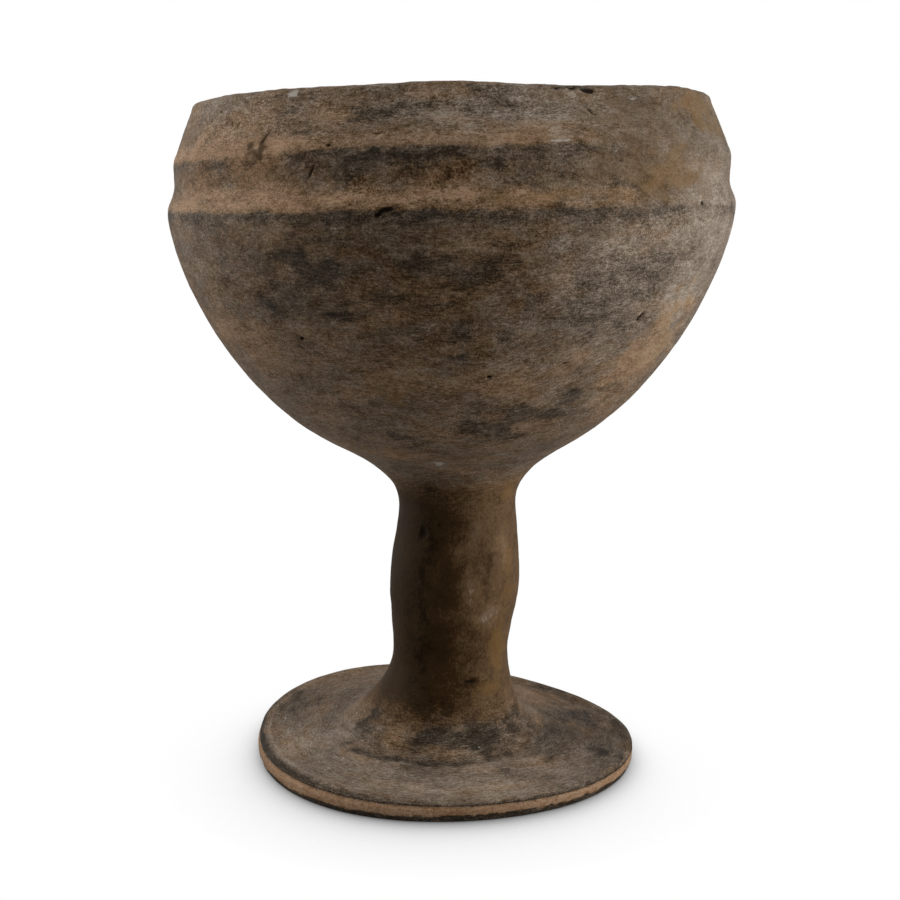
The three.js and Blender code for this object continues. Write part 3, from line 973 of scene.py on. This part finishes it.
# Noises in the clay: feature size in millimetres, how much drawn out round the axis, detail, roughness and
# distortion
Noise = namedtuple("Noise", "size stretch detail roughness distortion", defaults=(0,))
NOISES = {
    "mottle": Noise(15, 1.5, 4, 0.55),
    "sweep": Noise(10, 6, 1, 0.3, 0.4),
    "cloud": Noise(5, 2, 7, 0.7, 0.3),
    "hair": Noise(4, 18, 3, 0.6),
    "fibre": Noise(2.4, 2.2, 3, 0.5, 1.2),
    "streak": Noise(2.2, 4.5, 5, 0.75),
    "dash": Noise(1.3, 2.2, 5, 0.75),
    "grain": Noise(0.42, 1.3, 3, 0.7),
}
# Sums of values with their weights: the broken look of the clay and its middle, the level from sooty and
# painted shade to bare and painted highlight, the light lines of worn skin, and the fine relief
BROKEN = {"mottle": 0.3, "cloud": 0.55, "dash": 0.95, "grain": 0.9, "hair": 0.2}
BROKEN_MIDDLE = 1.45
LEVEL = {"tone": 1, "broken": 1, "sooty_and_shaded": -0.19}
LIGHT_LINES = {"thread": 0.45, "hairs": 0.6, "flecks": 0.8, "scratch": 0.9}
FINE_RELIEF = {"cloud": 0.3, "dash": 0.5, "hair": 0.2, "grain": 0.4, "thread": 0.06}
RELIEF_STRENGTH = 0.6
RELIEF_DEPTH = 0.28 * MM
# How calm and how broken the clay can be: the calm at both ends and what it multiplies the broken look by
CALMING = (-1, 1.5, 1.9, 0.15)
# Half widths of the thin lines, as shares of a noise's range
THREAD_WIDTH = 0.03
SCRATCH_WIDTH = 0.022
# How much of something shows: a sum of values with their weights, the sums where it begins and is full, and
# how much shows then
Amount = namedtuple("Amount", "weights low high least most", defaults=(0, 1))
# Soot together with painted shade
SOOTY_AND_SHADED = Amount({"soot_and_shade": 1, "cloud": -0.9, "streak": -1.1, "grain": -0.5}, -1.1, -0.5)
COOLER = Amount({"warmth": -0.5, "mottle": -0.6, "cloud": 0.9, "sooty_and_shaded": 0.2}, -0.1, 0.4)
RUSTY = Amount({"rust": 1, "cloud": 0.7, "mottle": 0.7, "dash": 0.3}, 0.9, 1.25, 0, 0.55)
GOLDEN_SHOWS = Amount({"golden": 0.8, "cloud": 0.6}, 0.45, 1.05, 0, 0.5)
OLIVE_SHOWS = Amount({"olive": 0.8, "dash": 0.5}, 0.5, 1.1, 0, 0.9)
HAIRS = Amount({"hair": 1}, 0.56, 0.7)
FLECKS = Amount({"grain": 1}, 0.62, 0.7)
SCRATCHED = Amount({"cloud": 1}, 0.47, 0.55)
PALE_SHOWS = Amount({"pale": 0.9, "dash": 1.2, "grain": 0.5}, 1.15, 1.6, 0, 0.75)
# Painted shade in the marks' hollows
PIT_SHADE_SHOWS = Amount({"hollow": 1}, 0.2, 0.62, 0, 0.94)
ROUGH = Amount({"dash": 0.6, "grain": 0.4, "hollow": 0.5}, 0.3, 0.8, 0.5, 0.72)


class Nodes:
    """Short calls that add nodes to a material or a world and join them."""

    def __init__(self, owner):
        self.tree = owner.node_tree

    def feed(self, socket, value):
        if isinstance(value, bpy.types.NodeSocket):
            self.tree.links.new(value, socket)
        else:
            socket.default_value = value

    def set(self, node, **inputs):
        for name, value in inputs.items():
            self.feed(node.inputs[name.replace("_", " ")], value)

    def new(self, kind, **inputs):
        node = self.tree.nodes.new(kind)
        self.set(node, **inputs)
        return node

    def blend_shaders(self, share, first, second, output):
        mix = self.new("ShaderNodeMixShader", Fac=share)
        self.tree.links.new(first.outputs[0], mix.inputs[1])
        self.tree.links.new(second.outputs[0], mix.inputs[2])
        self.tree.links.new(mix.outputs[0], output.inputs["Surface"])

    def attribute(self, name, output="Fac"):
        node = self.new("ShaderNodeAttribute")
        node.attribute_name = name
        return node.outputs[output]

    def noise(self, vector, kind):
        drawn = self.new("ShaderNodeMapping", Vector=vector, Scale=(1, 1, kind.stretch)).outputs["Vector"]
        node = self.new("ShaderNodeTexNoise", Vector=drawn, Scale=1 / (kind.size * MM))
        self.set(node, Detail=kind.detail, Roughness=kind.roughness, Distortion=kind.distortion)
        return node.outputs["Fac"]

    def math(self, operation, first, second):
        node = self.new("ShaderNodeMath")
        node.operation = operation
        self.feed(node.inputs[0], first)
        self.feed(node.inputs[1], second)
        return node.outputs[0]

    def weigh(self, values, weights):
        """Adds up the named values, each times its weight."""
        total = 0
        for name, weight in weights.items():
            total = self.math("ADD", self.math("MULTIPLY", values[name], weight), total)
        return total

    def straight(self, value, low, high, start, end):
        node = self.new("ShaderNodeMapRange", Value=value, From_Min=low, From_Max=high)
        self.set(node, To_Min=start, To_Max=end)
        return node.outputs["Result"]

    def ramp(self, value, low, high, start=0, end=1):
        result = self.straight(value, low, high, start, end)
        result.node.interpolation_type = "SMOOTHSTEP"
        return result

    def amount(self, values, kind):
        return self.ramp(self.weigh(values, kind.weights), kind.low, kind.high, kind.least, kind.most)

    def line(self, value, width):
        """1 along the thin lines where a noise crosses its middle value."""
        away = self.math("ABSOLUTE", self.math("SUBTRACT", value, 0.5), 0)
        return self.ramp(away, 0, width, 1, 0)

    def colours(self, value, stops):
        node = self.new("ShaderNodeValToRGB", Fac=value)
        elements = node.color_ramp.elements
        while len(elements) < len(stops):
            elements.new(1)
        for element, (place, colour) in zip(elements, stops):
            element.position = place
            element.color = colour
        return node.outputs["Color"]

    def mix(self, share, first, second):
        return self.new("ShaderNodeMixRGB", Fac=share, Color1=first, Color2=second).outputs["Color"]


def clay_material():
    material = bpy.data.materials.new("clay")
    material.use_nodes = True
    add = Nodes(material)
    skin = add.attribute("skin", "Vector")
    values = {name: add.attribute(name) for name in PAINTED}
    for name, kind in NOISES.items():
        values[name] = add.noise(skin, kind)
    values["sooty_and_shaded"] = add.amount(values, SOOTY_AND_SHADED)
    broken = add.math("SUBTRACT", add.weigh(values, BROKEN), BROKEN_MIDDLE)
    values["broken"] = add.math("MULTIPLY", broken, add.straight(values["calm"], *CALMING))
    values["thread"] = add.line(values["fibre"], THREAD_WIDTH)
    values["hairs"] = add.amount(values, HAIRS)
    values["flecks"] = add.amount(values, FLECKS)
    scratch = add.line(values["sweep"], SCRATCH_WIDTH)
    values["scratch"] = add.math("MULTIPLY", scratch, add.amount(values, SCRATCHED))

    # The level from sooty, with painted shade, to bare, with painted highlights and sheen
    level = add.weigh(values, LEVEL)
    colour = add.mix(add.amount(values, COOLER), add.colours(level, WARM), add.colours(level, COOL))
    colour = add.mix(add.amount(values, RUSTY), colour, add.mix(ORANGE_SHARE, colour, ORANGE))
    colour = add.mix(add.amount(values, GOLDEN_SHOWS), colour, GOLDEN)
    colour = add.mix(add.amount(values, OLIVE_SHOWS), colour, OLIVE)
    lines = add.math("MULTIPLY", add.weigh(values, LIGHT_LINES), values["worn"])
    colour = add.mix(lines, colour, WORN_CLAY)
    colour = add.mix(add.amount(values, PALE_SHOWS), colour, WHITE_EARTH)
    # Painted shade in the marks' hollows
    colour = add.mix(add.amount(values, PIT_SHADE_SHOWS), colour, PIT_SHADE)

    height = add.weigh(values, FINE_RELIEF)
    fine = add.new("ShaderNodeBump", Height=height, Strength=RELIEF_STRENGTH, Distance=RELIEF_DEPTH)
    shader = material.node_tree.nodes["Principled BSDF"]
    add.set(shader, Base_Color=colour, Roughness=add.amount(values, ROUGH), Normal=fine.outputs["Normal"])
    add.set(shader, Specular_IOR_Level=SHEEN_LEVEL, Specular_Tint=SHEEN)
    return material


# Soft lamps round the chalice: place and size in metres, power in watts
Lamp = namedtuple("Lamp", "name place size power")
LAMPS = (
    Lamp("right_lamp", (0.58, -0.14, 0.1), 0.45, 2.5),
    Lamp("left_lamp", (-0.6, 0.06, 0.2), 0.5, 1.05),
    Lamp("high_left_lamp", (-0.42, -0.05, 0.55), 0.4, 0.8),
    Lamp("high_front_lamp", (0, -0.4, 0.65), 0.5, 0.8),
)
LAMP_AIM = Vector((0, 0, 0.09))
# The surround's strength in front and behind and its share below, each eased between two directions
SURROUND_FRONT = 0.02
SURROUND_BACK = 0.5
SURROUND_TURN = (-0.8, 0.8)
SURROUND_BELOW = 0.2
SURROUND_LIFT = (-0.3, 0.1)


def make_lamp(lamp):
    data = bpy.data.lights.new(lamp.name, "AREA")
    data.shape = "DISK"
    data.size = lamp.size
    data.energy = lamp.power
    light = bpy.data.objects.new(lamp.name, data)
    light.location = lamp.place
    light.rotation_euler = (LAMP_AIM - Vector(lamp.place)).to_track_quat("-Z", "Y").to_euler()
    light.visible_camera = False
    bpy.context.scene.collection.objects.link(light)


def make_studio():
    """Soft lamps, and a surround that looks white but lights less from the front and from below."""
    for lamp in LAMPS:
        make_lamp(lamp)
    world = bpy.data.worlds.new("studio")
    bpy.context.scene.world = world
    world.use_nodes = True
    add = Nodes(world)
    direction = add.new("ShaderNodeTexCoord").outputs["Generated"]
    parts = add.new("ShaderNodeSeparateXYZ", Vector=direction)
    turned = add.ramp(parts.outputs["Y"], *SURROUND_TURN, SURROUND_FRONT, SURROUND_BACK)
    lifted = add.ramp(parts.outputs["Z"], *SURROUND_LIFT, SURROUND_BELOW, 1)
    strength = add.math("MULTIPLY", turned, lifted)
    surround = add.new("ShaderNodeBackground", Color=WHITE, Strength=strength)
    backdrop = add.new("ShaderNodeBackground", Color=WHITE, Strength=1)
    seen = add.new("ShaderNodeLightPath").outputs["Is Camera Ray"]
    add.blend_shaders(seen, surround, backdrop, world.node_tree.nodes["World Output"])
    bpy.context.scene.view_settings.view_transform = "Standard"


# The floor: half its size in metres, and the grey that it bounces light with
FLOOR_REACH = 0.6
FLOOR_GREY = (0.5, 0.5, 0.5, 1)
# The floor's shadow: how far away things still cast it, the openness that counts as black and as
# white, and the direction the light comes from
SHADOW_REACH = 0.028
SHADOW_BLACK = 0.1
SHADOW_WHITE = 0.97
LIGHT_FROM = Vector((0.05, 0.62, 0.78))


def make_floor():
    """A floor that looks as white as the surround, with a soft shadow where the foot shuts out the light."""
    mesh = bpy.data.meshes.new("floor")
    corners = [(x * FLOOR_REACH, y * FLOOR_REACH, 0) for x, y in ((-1, -1), (1, -1), (1, 1), (-1, 1))]
    mesh.from_pydata(corners, [], [(0, 1, 2, 3)])
    floor = bpy.data.objects.new("floor", mesh)
    bpy.context.scene.collection.objects.link(floor)
    material = bpy.data.materials.new("floor")
    material.use_nodes = True
    add = Nodes(material)
    light = add.new("ShaderNodeCombineXYZ", X=LIGHT_FROM.x, Y=LIGHT_FROM.y, Z=LIGHT_FROM.z)
    toward_light = light.outputs["Vector"]
    sky = add.new("ShaderNodeAmbientOcclusion", Distance=SHADOW_REACH, Normal=toward_light)
    strength = add.straight(sky.outputs["AO"], SHADOW_BLACK, SHADOW_WHITE, 0, 1)
    white = add.new("ShaderNodeEmission", Strength=strength)
    grey = add.new("ShaderNodeBsdfDiffuse", Color=FLOOR_GREY)
    seen = add.new("ShaderNodeLightPath").outputs["Is Camera Ray"]
    add.blend_shaders(seen, grey, white, material.node_tree.nodes["Material Output"])
    mesh.materials.append(material)


make_camera()
make_studio()
make_floor()
chalice = make_chalice()
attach(chalice, "root")
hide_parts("chalice")
